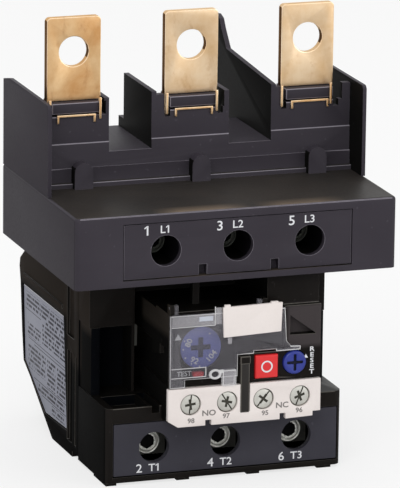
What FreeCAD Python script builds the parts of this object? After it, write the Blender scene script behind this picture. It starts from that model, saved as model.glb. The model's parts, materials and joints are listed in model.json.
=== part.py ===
import FreeCAD, Part
import Sketcher
import math
import os

doc = FreeCAD.newDocument("OverloadRelay")
sheet = doc.addObject("Spreadsheet::Sheet", "dims")

# Driving sizes in millimetres. The build datum is the middle of the ledge's lower
# front edge; every body is then placed so that the row origin is under the part.
SIZES = {
    "datum_y": -58.0, "datum_z": 76.0,
    "block_w": 120.0, "block_d": 86.6, "ledge_height": 26.0, "cheek_t": 1.4,
    "cheek_front": 32.5, "cheek_top": 59.4, "fin_t": 1.8, "fin_top": 57.8,
    "kerb_front": 43.6, "kerb_top": 27.8, "wall_front": 45.1, "step_top": 33.0,
    "valley_front": 45.7, "valley_top": 38.2, "valley_back": 83.8,
    "bay_top": 42.0, "bay_front": 46.0, "bay_wall": 2.6, "notch_low": 51.9,
    "bay_a_right": -33.0, "bay_b_left": -17.0, "bay_b_right": 12.3, "bay_c_left": 28.4,
    "lug_pitch": 44.2, "lug_shift": -1.0, "lug_wide": 20.2, "lug_thick": 3.0,
    "lug_front": 49.5, "lug_top": 87.1, "lug_hole_z": 74.6, "lug_hole_dia": 11.0,
    "clamp_pitch": 26.9, "clamp_shift": 0.5, "upper_clamp_z": 12.3, "lower_clamp_z": -62.8,
    "access_dia": 11.2, "socket_dia": 9.6, "shank_dia": 7.0, "tapped_dia": 7.16,
    "base_w": 89.2, "base_back": 116.0, "base_split": 43.4, "base_wall": 2.5,
    "foot_z": -76.0, "panel_front": 11.2, "platform_z": -47.4, "upper_front": 31.0,
    "upper_low": -22.6, "side_wall": 3.8,
    "control_left": -24.0, "control_right": 33.3, "control_front": 3.6,
    "control_low": -39.2, "control_step": -12.0, "control_roof": -13.0, "face_floor": 6.0,
    "dial_x": -11.0, "dial_z": -25.8, "dial_dia": 15.3,
    "stop_x": 12.7, "stop_z": -33.7, "stop_w": 8.6, "stop_h": 8.6,
    "reset_x": 23.3, "reset_z": -33.0, "reset_dia": 8.6,
    "aux_front": 2.5, "aux_top": -39.5, "aux_low": -53.6, "aux_pitch": 13.73,
    "hinge_y": 4.2, "hinge_z": -9.8, "aux_x": -15.8, "aux_z": -45.6, "aux_screw_dia": 7.2,
}


class Dim:
    """A number that keeps the sheet expression it came from."""

    def __init__(self, value, text):
        self.value = value
        self.text = text

    def join(self, other, sign, value):
        return Dim(value, "(" + self.text + sign + text_of(other) + ")")

    def __add__(self, other):
        return self.join(other, " + ", self.value + num(other))

    def __sub__(self, other):
        return self.join(other, " - ", self.value - num(other))

    def __mul__(self, other):
        return self.join(other, " * ", self.value * num(other))

    def __truediv__(self, other):
        return self.join(other, " / ", self.value / num(other))

    def __radd__(self, other):
        return Dim(num(other) + self.value, "(" + text_of(other) + " + " + self.text + ")")

    def __rsub__(self, other):
        return Dim(num(other) - self.value, "(" + text_of(other) + " - " + self.text + ")")

    def __neg__(self):
        return Dim(-self.value, "(0 - " + self.text + ")")


def num(item):
    return item.value if isinstance(item, Dim) else float(item)


def text_of(item):
    return item.text if isinstance(item, Dim) else repr(float(item))


for row, (alias, value) in enumerate(SIZES.items(), start=1):
    sheet.set("A%d" % row, alias)
    sheet.set("B%d" % row, str(value))
    sheet.setAlias("B%d" % row, alias)
doc.recompute()
D = {alias: Dim(value, "dims." + alias) for alias, value in SIZES.items()}
PLANES = {"XY": "XY_Plane", "XZ": "XZ_Plane", "YZ": "YZ_Plane"}


def bind(item, path, amount):
    if isinstance(amount, Dim):
        item.setExpression(path, amount.text)


def new_body(name):
    body = doc.addObject("PartDesign::Body", name)
    body.Label = name
    body.AllowCompound = True
    body.Placement = FreeCAD.Placement(
        FreeCAD.Vector(0, D["datum_y"].value, D["datum_z"].value), FreeCAD.Rotation())
    body.setExpression("Placement.Base.y", D["datum_y"].text)
    body.setExpression("Placement.Base.z", D["datum_z"].text)
    return body


def sketch_on(body, plane, level):
    sketch = body.newObject("Sketcher::SketchObject", body.Name + "_sketch")
    plate = [f for f in body.Origin.OriginFeatures if f.Role == PLANES[plane]][0]
    sketch.AttachmentSupport = (plate, [""])
    sketch.MapMode = "FlatFace"
    shift = -level if plane == "XZ" else level
    sketch.AttachmentOffset = FreeCAD.Placement(
        FreeCAD.Vector(0, 0, num(shift)), FreeCAD.Rotation())
    bind(sketch, "AttachmentOffset.Base.z", shift)
    return sketch


def pin_point(sketch, geo, spot, across, up):
    for kind, axis, amount in (("DistanceX", -2, across), ("DistanceY", -1, up)):
        if not isinstance(amount, Dim) and abs(amount) < 1e-9:
            sketch.addConstraint(Sketcher.Constraint("PointOnObject", geo, spot, axis))
            continue
        index = sketch.addConstraint(
            Sketcher.Constraint(kind, -1, 1, geo, spot, num(amount)))
        bind(sketch, "Constraints[%d]" % index, amount)


def add_poly(sketch, points):
    first = sketch.GeometryCount
    count = len(points)
    spots = [FreeCAD.Vector(num(a), num(b), 0) for a, b in points]
    for i in range(count):
        sketch.addGeometry(Part.LineSegment(spots[i], spots[(i + 1) % count]), False)
    for i in range(count):
        sketch.addConstraint(Sketcher.Constraint(
            "Coincident", first + i, 2, first + (i + 1) % count, 1))
    for i, (a, b) in enumerate(points):
        pin_point(sketch, first + i, 1, a, b)


def add_circle(sketch, across, up, radius):
    centre = FreeCAD.Vector(num(across), num(up), 0)
    geo = sketch.addGeometry(
        Part.Circle(centre, FreeCAD.Vector(0, 0, 1), num(radius)), False)
    pin_point(sketch, geo, 3, across, up)
    index = sketch.addConstraint(Sketcher.Constraint("Radius", geo, num(radius)))
    bind(sketch, "Constraints[%d]" % index, radius)


def box(a, b, c, d):
    return ("poly", [(a, b), (c, b), (c, d), (a, d)])


def poly(*points):
    return ("poly", list(points))


def disc(across, up, radius):
    return ("disc", across, up, radius)


def hexagon(across, up, flats):
    reach = flats / math.sqrt(3)
    turns = [math.radians(60 * k) for k in range(6)]
    return ("poly", [(across + reach * math.cos(t), up + reach * math.sin(t)) for t in turns])


def prism(across, up, radius):
    """A plain sixteen-sided section, used where a thread is hidden from view."""
    turns = [math.radians(22.5 * k) for k in range(16)]
    return ("poly", [(across + radius * math.cos(t), up + radius * math.sin(t)) for t in turns])


def cross(across, up, near, far):
    """The outline of a crossed recess with arms of half-width near and reach far."""
    steps = [(-far, -near), (-near, -near), (-near, -far), (near, -far), (near, -near),
             (far, -near), (far, near), (near, near), (near, far), (-near, far), (-near, near),
             (-far, near)]
    return ("poly", [(across + a, up + b) for a, b in steps])


def draw(sketch, shapes):
    for shape in shapes:
        if shape[0] == "disc":
            add_circle(sketch, *shape[1:])
        else:
            add_poly(sketch, shape[1])


def settle(body, feature):
    body.Tip = feature
    doc.recompute()
    if feature.Shape.isNull() or "Invalid" in feature.State or "Error" in feature.State:
        raise RuntimeError("feature failed in " + body.Label + ": " + feature.Name)
    return feature


def pad(body, plane, start, end, *shapes):
    """Adds material from start to end along the axis normal to the plane."""
    sketch = sketch_on(body, plane, start)
    draw(sketch, shapes)
    feature = body.newObject("PartDesign::Pad", body.Name + "_pad")
    feature.Profile = sketch
    feature.Length = num(end) - num(start)
    if isinstance(start, Dim) or isinstance(end, Dim):
        feature.setExpression("Length", text_of(end) + " - " + text_of(start))
    feature.Reversed = plane == "XZ"
    sketch.Visibility = False
    return settle(body, feature)


def cut(body, plane, start, end, *shapes):
    """Removes material from start to end along the axis normal to the plane."""
    sketch = sketch_on(body, plane, start)
    draw(sketch, shapes)
    before = body.Tip.Shape.Volume
    feature = body.newObject("PartDesign::Pocket", body.Name + "_cut")
    feature.Profile = sketch
    feature.Type = 0
    feature.Length = num(end) - num(start)
    if isinstance(start, Dim) or isinstance(end, Dim):
        feature.setExpression("Length", text_of(end) + " - " + text_of(start))
    feature.Reversed = plane != "XZ"
    sketch.Visibility = False
    settle(body, feature)
    if feature.Shape.Volume > before - 1e-6:
        raise RuntimeError("cut removed nothing in " + body.Label)
    return feature


def edge_names(body, wanted):
    names = []
    for i, edge in enumerate(body.Tip.Shape.Edges, start=1):
        if wanted(edge):
            names.append("Edge%d" % i)
    return names


def dress(body, kind, amount, wanted):
    names = edge_names(body, wanted)
    if not names:
        raise RuntimeError("no edges to dress in " + body.Label)
    base = body.Tip
    feature = body.newObject("PartDesign::" + kind, body.Name + "_" + kind.lower())
    feature.Base = (base, names)
    if kind == "Fillet":
        feature.Radius = amount
    else:
        feature.Size = amount
    return settle(body, feature)


def runs_along(edge, axis):
    if edge.Curve.TypeId != "Part::GeomLine":
        return False
    return abs(getattr(edge.tangentAt(edge.FirstParameter), axis)) > 0.999


def edge_at(axis, **near):
    """Picks straight edges along one axis whose middle is near the given values."""
    def wanted(edge):
        middle = edge.CenterOfMass
        close = all(abs(getattr(middle, k) - num(v)) < 0.06 for k, v in near.items())
        return close and runs_along(edge, axis)
    return wanted


def rim_at(axis, level, radius):
    """Picks circular edges of one radius at one level along an axis."""
    def wanted(edge):
        if edge.Curve.TypeId != "Part::GeomCircle":
            return False
        middle = edge.CenterOfMass
        return (abs(edge.Curve.Radius - num(radius)) < 0.02
                and abs(getattr(middle, axis) - num(level)) < 0.02)
    return wanted


HALF = D["block_w"] / 2
POLES = (-1, 0, 1)
SIDES = ("left", "middle", "right")


def lug_x(k):
    return D["lug_shift"] + D["lug_pitch"] * k


def clamp_x(k):
    return D["clamp_shift"] + D["clamp_pitch"] * k


def adapter_housing():
    body = new_body("adapter_housing")
    wall = HALF - D["cheek_t"]
    rear = D["block_d"]
    pad(body, "XY", 0.0, D["ledge_height"], box(-HALF, 0.0, HALF, rear))
    dress(body, "Fillet", 2.0, edge_at("z", y=0.0))
    dress(body, "Fillet", 1.2, edge_at("x", y=0.0, z=D["ledge_height"]))
    pad(body, "XY", D["ledge_height"], D["kerb_top"], box(-wall, D["kerb_front"], wall, rear))
    pad(body, "XY", D["kerb_top"], D["step_top"],
        box(-wall, D["wall_front"], wall, D["valley_back"]))
    pad(body, "XY", D["step_top"], D["valley_top"],
        box(-wall, D["valley_front"], wall, D["valley_back"]))
    bays = [(-wall, D["bay_a_right"]), (D["bay_b_left"], D["bay_b_right"]),
            (D["bay_c_left"], wall)]
    pad(body, "XY", D["valley_top"], D["bay_top"],
        *[box(a, D["valley_front"], b, D["valley_back"]) for a, b in bays])
    bay_walls(body, wall)
    adapter_posts(body)
    adapter_cavities(body)
    return body


def bay_walls(body, wall):
    """Full-height front walls of the bays, notched where the lugs stand."""
    thin = D["fin_t"]
    front = D["bay_front"]
    back = front + D["bay_wall"]
    top = D["fin_top"]
    spans = [(-wall, D["bay_a_right"] - thin), (D["bay_b_left"] + thin, D["bay_b_right"] - thin),
             (D["bay_c_left"] + thin, wall)]
    pad(body, "XY", D["bay_top"], D["notch_low"], *[box(a, front, b, back) for a, b in spans])
    low = D["notch_low"]
    shoulders = [(-wall, lug_x(-1) - 11.2), (D["bay_b_left"] + thin, lug_x(0) - 11.4),
                 (D["bay_c_left"] + thin, lug_x(1) - 11.1), (lug_x(1) + 12.4, wall)]
    pad(body, "XY", low, top, *[box(a, front, b, back) for a, b in shoulders])
    legs = [box(lug_x(k) + s * 10.0 - 1.0, 49.5, lug_x(k) + s * 10.0 + 1.0, low)
            for k in POLES for s in (-1, 1) if (k, s) != (-1, 1)]
    cut(body, "XZ", front, back, *legs)


def side_cheeks():
    """Thin side walls standing on the ledge."""
    body = new_body("side_cheeks")
    front, low, back, top = D["cheek_front"], D["ledge_height"], D["block_d"], D["cheek_top"]
    cheek = poly((front, low), (back, low), (back, top - 1.6), (back - 7.6, top), (front, top))
    pad(body, "YZ", -HALF, -HALF + D["cheek_t"], cheek)
    pad(body, "YZ", HALF - D["cheek_t"], HALF, cheek)
    dress(body, "Fillet", 1.8, edge_at("x", y=front, z=top))
    return body


def phase_fins():
    """Three short fins beside the terminal bays."""
    body = new_body("phase_fins")
    thin = D["fin_t"]
    front = D["bay_front"]
    low = D["bay_top"]
    short = box(front, low, front + 13.0, D["fin_top"])
    pad(body, "YZ", D["bay_a_right"] - thin, D["bay_a_right"], short)
    pad(body, "YZ", D["bay_b_right"] - thin, D["bay_b_right"], short)
    pad(body, "YZ", D["bay_b_left"], D["bay_b_left"] + thin,
        box(front, low, front + 32.0, D["fin_top"] + 1.2))
    inner = D["bay_a_right"] - thin
    cut(body, "XZ", front, front + 7.4, box(inner, D["notch_low"], inner + 0.6, 56.8))
    return body


def tall_barrier():
    """The tall phase barrier that runs back past the block and ends in a raised horn."""
    body = new_body("tall_barrier")
    front = D["bay_front"]
    rear = D["valley_back"]
    far = D["base_back"]
    outline = poly((front, D["bay_top"]), (rear, D["bay_top"]), (rear, D["kerb_top"]),
                   (far - 3.0, D["kerb_top"]), (far, 32.0), (far, 68.6), (far - 3.0, 71.6),
                   (far - 9.0, 72.3), (far - 12.4, 71.3), (far - 14.7, 68.0), (far - 20.6, 61.6),
                   (front, D["fin_top"] + 1.0))
    pad(body, "YZ", D["bay_c_left"], D["bay_c_left"] + D["fin_t"], outline)
    return body


def adapter_posts(body):
    radius = 3.45
    low = D["ledge_height"]
    arches = []
    for k in POLES:
        middle = 0.5 + 44.3 * k
        bow = [(middle + radius * math.cos(math.radians(t)),
                32.1 + radius * math.sin(math.radians(t))) for t in range(0, 181, 15)]
        arches.append(("poly", [(middle - radius, low)] + [(middle + radius, low)] + bow))
    pad(body, "XZ", 41.0, D["valley_front"] + 0.6, *arches)


def adapter_cavities(body):
    cut(body, "XZ", 0.0, 3.3, box(-42.4, 2.3, 43.3, 22.8))
    cells = [box(clamp_x(k) - 9.2, 3.5, clamp_x(k) + 9.2, 21.5) for k in POLES]
    cut(body, "XZ", 3.3, 57.5, *cells)
    front = D["lug_front"] - 0.35
    back = D["lug_front"] + D["lug_thick"] + 0.35
    wide = D["lug_wide"] / 2 + 0.5
    shafts = [box(lug_x(k) - wide, front, lug_x(k) + wide, back) for k in POLES]
    cut(body, "XY", 28.0, D["bay_top"], *shafts)
    spans = ((-56.0, -19.4), (-12.0, 10.0), (20.6, 54.2))
    cut(body, "XY", 4.0, 34.4, *[box(a, front, b, back) for a, b in spans])
    slots = [box(clamp_x(k) - 6.6, 46.0, clamp_x(k) + 6.6, 49.6) for k in POLES]
    cut(body, "XY", 0.0, 3.5, *slots)


def adapter_cover_plate():
    body = new_body("adapter_cover_plate")
    left, right = -42.0, 42.9
    pad(body, "XZ", 0.4, 3.1, box(left, 2.7, right, 22.4))
    radius = D["access_dia"] / 2
    cut(body, "XZ", 0.4, 3.1, *[disc(clamp_x(k), D["upper_clamp_z"], radius) for k in POLES])
    cut(body, "XZ", 0.4, 3.1, box(-14.2, 2.7, -11.2, 6.5), box(12.7, 2.7, 15.7, 6.5))
    return body


def lug(k):
    body = new_body("lug_" + SIDES[k + 1])
    half = D["lug_wide"] / 2
    middle = lug_x(k)
    foot = clamp_x(k)
    front = D["lug_front"]
    outline = poly((foot - 6.0, 6.0), (foot + 6.0, 6.0), (foot + 6.0, 21.0), (middle + half, 33.5),
                   (middle + half, D["lug_top"]), (middle - half, D["lug_top"]),
                   (middle - half, 33.5), (foot - 6.0, 21.0))
    if k == 0:
        outline = poly((foot - 6.0, 6.0), (foot + 6.0, 6.0), (foot + 6.0, 30.0),
                       (middle + half, 33.5), (middle + half, D["lug_top"]),
                       (middle - half, D["lug_top"]), (middle - half, 33.5), (foot - 6.0, 30.0))
    pad(body, "XZ", front, front + D["lug_thick"], outline)
    cut(body, "XZ", front, front + D["lug_thick"],
        disc(middle, D["lug_hole_z"], D["lug_hole_dia"] / 2))
    cut(body, "XZ", front, front + D["lug_thick"],
        box(middle - 9.2, 45.0, middle + 9.2, 56.8))
    dress(body, "Fillet", 1.6, edge_at("y", z=D["lug_top"]))
    return body


def lug_retainers():
    body = new_body("lug_retainers")
    outline = poly((46.2, 52.7), (46.2, 56.6), (57.0, 56.6), (57.0, 42.1), (54.2, 42.1),
                   (54.2, 52.7))
    for k in POLES:
        pad(body, "YZ", lug_x(k) - 9.0, lug_x(k) + 9.0, outline)
    return body


def lug_clips():
    """Wire staples over the wall below each retainer."""
    body = new_body("lug_clips")
    front = D["bay_front"]
    arches = []
    for k in POLES:
        a, b, low, top = lug_x(k) - 7.4, lug_x(k) + 7.1, 49.4, 52.5
        arches.append(poly((a, low), (a + 0.9, low), (a + 0.9, top - 0.8), (b - 0.9, top - 0.8),
                           (b - 0.9, low), (b, low), (b, top), (a, top)))
    pad(body, "XZ", front - 0.7, front, *arches)
    return body


def clamp_screws(name, level, head_front, tip):
    """Three hexagon-socket clamp screws along Y, one per pole."""
    body = new_body(name)
    neck = head_front + 5.0
    pad(body, "XZ", head_front, neck,
        *[disc(clamp_x(k), level, D["socket_dia"] / 2) for k in POLES])
    pad(body, "XZ", neck, tip, *[prism(clamp_x(k), level, D["shank_dia"] / 2) for k in POLES])
    cut(body, "XZ", head_front, head_front + 3.4,
        *[hexagon(clamp_x(k), level, 5.0) for k in POLES])
    return body


def clamp_cages(name, level, front, back):
    """Three rectangular clamp cages with a tapped front wall."""
    body = new_body(name)
    low = level - 6.6
    high = level + 6.6
    pad(body, "XY", low, high, *[box(clamp_x(k) - 8.6, front, clamp_x(k) + 8.6, back)
                                 for k in POLES])
    cut(body, "XY", low, high, *[box(clamp_x(k) - 7.1, front + 3.2, clamp_x(k) + 7.1, back - 1.8)
                                 for k in POLES])
    cut(body, "XZ", front, front + 3.2,
        *[prism(clamp_x(k), level, D["tapped_dia"] / 2) for k in POLES])
    return body


def relay_base():
    body = new_body("relay_base")
    half = D["base_w"] / 2
    split = D["base_split"] + 0.1
    back = D["base_back"]
    low = D["foot_z"]
    outline = poly((split, -0.15), (97.0, -0.15), (110.3, -13.8), (115.2, -17.3), (back, -20.5),
                   (114.6, -26.0), (112.4, -44.6), (110.4, -55.6), (102.2, -59.6),
                   (84.6, -70.1), (74.7, low), (50.5, low), (50.5, -73.9), (split, -73.9))
    pad(body, "YZ", -half, half, outline)
    inner = poly((split, -2.8), (95.6, -2.8), (108.6, -15.8), (113.2, -19.6), (112.1, -26.0),
                 (109.8, -44.6), (108.2, -54.0), (101.0, -57.2), (83.4, -67.6), (73.6, -73.0),
                 (53.0, -73.0), (53.0, -71.4), (split, -71.4))
    thick = D["base_wall"]
    cut(body, "YZ", -half + thick, half - thick, inner)
    ribs = poly((82.0, -2.7), (95.4, -2.7), (108.5, -15.8), (113.1, -19.6), (109.7, -44.6),
                (108.1, -54.0), (100.9, -57.3), (83.4, -67.7), (82.0, -68.5))
    pad(body, "YZ", -13.7, -12.1, ribs)
    pad(body, "YZ", 13.1, 14.7, ribs)
    cut(body, "XY", -2.8, -0.15, *[box(clamp_x(k) - 6.6, 46.0, clamp_x(k) + 6.6, 49.6)
                                   for k in POLES])
    base_sides(body, half)
    return body


def base_sides(body, half):
    label = poly((111.6, -26.2), (61.8, -26.0), (57.2, -68.0), (83.6, -68.9), (109.2, -54.8))
    cut(body, "YZ", -half, -half + 0.8, label)
    slot = box(49.2, -31.6, 57.6, -4.0)
    grooves = [box(50.9, -71.0, 56.9, -37.2), box(46.2, -71.0, 47.6, -37.8)]
    cut(body, "YZ", -half, -half + 1.2, slot, *grooves)
    cut(body, "YZ", half - 1.2, half, slot, *grooves)
    bead = poly((62.0, -23.2), (110.0, -23.2), (110.0, -21.8), (62.0, -21.8))
    pad(body, "YZ", -half - 0.7, -half, bead)
    pad(body, "YZ", half, half + 0.7, bead)
    vents = [box(-30.0 + 15.0 * k, 88.0, -21.0 + 15.0 * k, 91.0) for k in range(5)]
    cut(body, "XY", -2.8, -0.15, *vents)


def front_housing():
    body = new_body("front_housing")
    half = D["base_w"] / 2
    split = D["base_split"]
    front = D["panel_front"]
    shelf = D["platform_z"]
    pad(body, "XY", -75.0, shelf, box(-half, front, half, split))
    dress(body, "Fillet", 2.8, edge_at("z", y=front))
    feet = ((-44.3, -40.3), (-17.7, -12.9), (8.9, 13.7), (35.7, 41.0))
    pad(body, "XY", D["foot_z"], -75.0, *[box(a, front + 0.6, b, 26.0) for a, b in feet])
    front_walls(body, half, split)
    cut(body, "XZ", front, front + 3.3, box(-42.0, -73.0, 43.2, -53.0))
    cells = [box(clamp_x(k) - 9.6, -72.2, clamp_x(k) + 9.6, -54.8) for k in POLES]
    cut(body, "XZ", front + 3.3, 41.0, *cells)
    wires = [box(clamp_x(k) - 8.2, 29.0, clamp_x(k) + 8.2, 35.6) for k in POLES]
    cut(body, "XY", -75.0, -72.2, *wires)
    ducts = [box(clamp_x(k) - 6.6, -53.2, clamp_x(k) + 6.6, -49.6) for k in POLES]
    cut(body, "XZ", 35.4, split, *ducts)
    stems = [box(clamp_x(k) - 6.6, 35.4, clamp_x(k) + 6.6, 39.0) for k in POLES]
    cut(body, "XY", -54.8, -53.2, *stems)
    rim = 1.1
    cut(body, "XY", shelf - 3.6, shelf,
        box(-half + 2.0 + rim, front + rim, -27.5 - rim, 28.5 - rim))
    cut(body, "XY", shelf - 2.6, shelf, box(-27.5, front, D["control_left"] - 0.6, 28.5))
    return body


def front_walls(body, half, split):
    """Side posts, cross walls and the thin partition beside the control block."""
    shelf = D["platform_z"]
    low = D["upper_low"]
    wall = D["side_wall"]
    left_inner = D["control_left"] - 0.3
    right_inner = D["control_right"] + 0.3
    pad(body, "XY", low, -0.15, box(-half, D["upper_front"], -27.8, split),
        box(right_inner, D["upper_front"], half, split))
    pad(body, "XY", shelf, low,
        box(-half + 0.5, D["upper_front"] - 0.6, -half + wall, split),
        box(half - wall, D["upper_front"] - 0.6, half - 0.5, split),
        box(-28.8, D["upper_front"], -27.8, split),
        box(-half + wall, split - 2.4, -28.8, split),
        box(right_inner, split - 2.4, half - wall, split))
    pad(body, "XY", shelf, -0.15, box(-27.8, split - 2.4, left_inner, split))


def terminal_cover():
    body = new_body("terminal_cover")
    front = D["panel_front"] + 0.2
    pad(body, "XZ", front, front + 2.8, box(-41.6, -72.6, 42.8, -53.4))
    radius = D["access_dia"] / 2
    cut(body, "XZ", front, front + 2.8,
        *[disc(clamp_x(k), D["lower_clamp_z"], radius) for k in POLES])
    return body


def load_bar(k):
    body = new_body("load_bar_" + SIDES[k + 1])
    outline = poly((35.8, -70.0), (38.6, -70.0), (38.6, -52.8), (78.0, -52.8), (78.0, -50.0),
                   (35.8, -50.0))
    pad(body, "YZ", clamp_x(k) - 6.0, clamp_x(k) + 6.0, outline)
    dress(body, "Fillet", 2.0, edge_at("x", y=35.8, z=-50.0))
    return body


def supply_bar(k):
    body = new_body("supply_bar_" + SIDES[k + 1])
    outline = poly((46.4, 18.6), (49.3, 18.6), (49.3, -9.0), (66.0, -9.0), (66.0, -12.0),
                   (46.4, -12.0))
    pad(body, "YZ", clamp_x(k) - 6.0, clamp_x(k) + 6.0, outline)
    dress(body, "Fillet", 2.0, edge_at("x", y=46.4, z=-12.0))
    return body


def heater(k):
    """A folded ribbon between the supply bar and the load bar."""
    body = new_body("heater_" + SIDES[k + 1])
    folds = 6
    rise = 38.0 / (2 * folds)
    near, far, thin = 57.5, 65.5, 1.0
    outline = []
    for i in range(folds):
        low = -50.0 + 2 * rise * i
        outline += [(far, low), (far, low + rise + thin),
                    (near + thin, low + rise + thin), (near + thin, low + 2 * rise)]
    back = []
    for i in reversed(range(folds)):
        low = -50.0 + 2 * rise * i
        back += [(near, low + 2 * rise + (thin if i < folds - 1 else 0.0)),
                 (near, low + rise), (far - thin, low + rise),
                 (far - thin, low + (thin if i > 0 else 0.0))]
    pad(body, "YZ", clamp_x(k) - 3.5, clamp_x(k) + 3.5, ("poly", outline + back))
    return body


def bimetal(k):
    body = new_body("bimetal_" + SIDES[k + 1])
    middle = clamp_x(k)
    pad(body, "XZ", 68.0, 75.0, box(middle - 0.6, -46.0, middle + 0.6, -11.0))
    pad(body, "XZ", 67.0, 76.0, box(middle - 3.0, -50.0, middle + 3.0, -46.0))
    return body


def transmission_slide():
    body = new_body("transmission_slide")
    pad(body, "XY", -8.4, -6.4, box(-36.0, 66.6, 38.0, 78.0))
    fingers = [box(clamp_x(k) + 1.0, 69.0, clamp_x(k) + 2.4, 74.0) for k in POLES]
    pad(body, "XY", -14.0, -8.4, *fingers)
    pad(body, "XY", -8.4, -6.4, box(9.0, 52.0, 13.0, 66.6))
    pad(body, "XY", -14.0, -8.4, box(10.4, 52.0, 12.0, 57.0))
    return body


def trip_lever():
    """A two-armed lever on a pin along Y."""
    body = new_body("trip_lever")
    pivot_x, pivot_z = 14.0, -28.0
    pad(body, "XZ", 52.5, 56.5, poly((12.4, -11.0), (14.4, -11.0), (16.2, -26.0), (16.2, -30.0),
                                     (15.2, -41.0), (12.8, -41.0), (11.8, -30.0), (11.8, -26.0)))
    cut(body, "XZ", 52.5, 56.5, disc(pivot_x, pivot_z, 1.05))
    return body


def mechanism_plate():
    body = new_body("mechanism_plate")
    pad(body, "XZ", 43.7, 45.2, box(-30.0, -34.0, 36.0, -22.0))
    pad(body, "XZ", 45.2, 50.0, disc(14.0, -28.0, 2.6))
    pad(body, "XZ", 50.0, 58.5, disc(14.0, -28.0, 1.0))
    return body


def contact_bridge():
    body = new_body("contact_bridge")
    pad(body, "XZ", 50.0, 58.0, box(9.6, -46.0, 11.8, -36.0))
    pad(body, "XZ", 46.4, 61.4, box(8.6, -41.6, 9.6, -40.4))
    return body


def fixed_contacts():
    body = new_body("fixed_contacts")
    for near, far in ((45.6, 49.0), (59.0, 62.4)):
        pad(body, "XZ", near, far, poly((4.6, -47.5), (5.6, -47.5), (5.6, -42.0), (6.0, -42.0),
                                        (6.0, -40.0), (5.6, -40.0), (5.6, -36.0), (4.6, -36.0)))
    return body


def control_housing():
    body = new_body("control_housing")
    left, right = D["control_left"], D["control_right"]
    front, low = D["control_front"], D["control_low"]
    step, roof = D["control_step"], D["control_roof"]
    rear = D["base_split"] - 0.2
    pad(body, "XZ", front, 18.0, box(left, low, right, step))
    pad(body, "XZ", 18.0, rear, box(left, low, right, roof))
    pad(body, "XZ", D["aux_front"] + 2.1, 11.0, box(left, -52.0, right, low))
    pad(body, "XZ", 11.0, rear, box(left, -46.9, right, low))
    pad(body, "XZ", 40.6, rear, box(left, roof, right, -0.3))
    pad(body, "XZ", 5.2, 40.6, box(13.4, roof, right - 0.4, -0.3))
    pad(body, "XZ", 15.2, 18.0, box(-11.2, step, -8.8, -0.3))
    cut(body, "XZ", 13.5, 21.0, box(left + 2.2, low + 2.2, right - 2.2, step - 2.2))
    cut(body, "XZ", 22.4, 26.8, box(left + 2.2, low + 2.2, right - 2.2, roof - 2.2))
    cut(body, "XZ", 26.8, rear, box(left + 2.2, -44.7, right - 2.2, roof - 2.2))
    cut(body, "XZ", 26.8, rear, box(15.6, roof - 2.2, right - 2.6, -2.4))
    control_face(body, left, front)
    aux_cavities(body)
    control_side(body, left, rear)
    hinge_ears(body)
    return body


def control_face(body, left, front):
    """Sunk face with the bores and openings of the dial, buttons and test slider."""
    floor = D["face_floor"]
    cut(body, "XZ", 21.0, 22.4, *[disc(x, z, 1.88) for x, z in (
        (D["stop_x"], D["stop_z"]), (D["reset_x"], D["reset_z"]))])
    cut(body, "XZ", front, floor, poly(
        (left + 1.0, -39.2), (1.7, -39.2), (1.7, -28.4), (19.4, -28.4), (19.4, -12.0),
        (left + 1.0, -12.0)))
    cut(body, "XZ", floor, 13.5, disc(D["dial_x"], D["dial_z"], D["dial_dia"] / 2 + 0.15))
    wide = D["stop_w"] / 2 + 0.3
    tall = D["stop_h"] / 2 + 0.3
    cut(body, "XZ", front, 13.5, box(D["stop_x"] - wide, D["stop_z"] - tall,
                                     D["stop_x"] + wide, D["stop_z"] + tall))
    cut(body, "XZ", front, 13.5, disc(D["reset_x"], D["reset_z"], D["reset_dia"] / 2 + 0.3))
    cut(body, "XZ", front, front + 3.0, poly((21.6, -15.6), (31.4, -22.9), (21.6, -22.9)))
    cut(body, "XZ", floor, 7.8, box(-14.6, -36.4, -6.6, -34.1))


def aux_cavities(body):
    """Screw wells behind the auxiliary plate, open below for the wires."""
    spots = [D["aux_x"] + D["aux_pitch"] * i for i in range(4)]
    near = D["aux_front"] + 2.1
    cut(body, "XZ", near, 9.4, *[box(x - 3.7, D["aux_z"] - 3.7, x + 3.7, D["aux_z"] + 3.7)
                                for x in spots])
    cut(body, "XY", -52.0, D["aux_z"] - 3.7, *[box(x - 2.6, near, x + 2.6, 9.4) for x in spots])


def hinge_ears(body):
    ear = box(3.0, -12.2, 6.0, -8.6)
    for near, far in ((-23.8, -22.2), (10.9, 12.5)):
        pad(body, "YZ", near, far, ear)
        cut(body, "YZ", near, far, disc(D["hinge_y"], D["hinge_z"], 0.68))


def control_side(body, left, rear):
    """Recess below the stepped edge of the left side wall."""
    cut(body, "YZ", left, left + 1.4, poly(
        (5.0, -25.0), (13.2, -25.0), (13.2, -28.6), (22.4, -30.6), (22.4, -25.2), (rear, -25.2),
        (rear, -38.4), (5.0, -38.4)))


def clear_cover():
    body = new_body("clear_cover")
    outline = poly((-23.9, -12.5), (19.2, -12.4), (19.9, -24.5), (21.5, -26.6), (25.2, -26.8),
                   (25.2, -28.2), (16.0, -28.2), (16.0, -27.4), (7.6, -27.4), (7.6, -28.4),
                   (1.5, -28.4), (1.5, -36.2), (-18.2, -36.2), (-18.2, -39.0), (-23.9, -39.0))
    pad(body, "XZ", 2.3, 3.3, outline)
    pad(body, "XZ", 3.3, 5.4, box(-22.6, -14.0, 18.8, -13.0), box(-22.6, -37.6, -21.6, -14.0))
    arm = poly((2.3, -14.0), (5.1, -14.0), (5.1, -9.0), (3.3, -9.0), (3.3, -12.4), (2.3, -12.5))
    for near, far in ((-21.9, -20.6), (9.3, 10.6)):
        pad(body, "YZ", near, far, arm)
    for near, far in ((-23.8, -20.6), (9.3, 12.5)):
        pad(body, "YZ", near, far, disc(D["hinge_y"], D["hinge_z"], 0.6))
    return body


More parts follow.
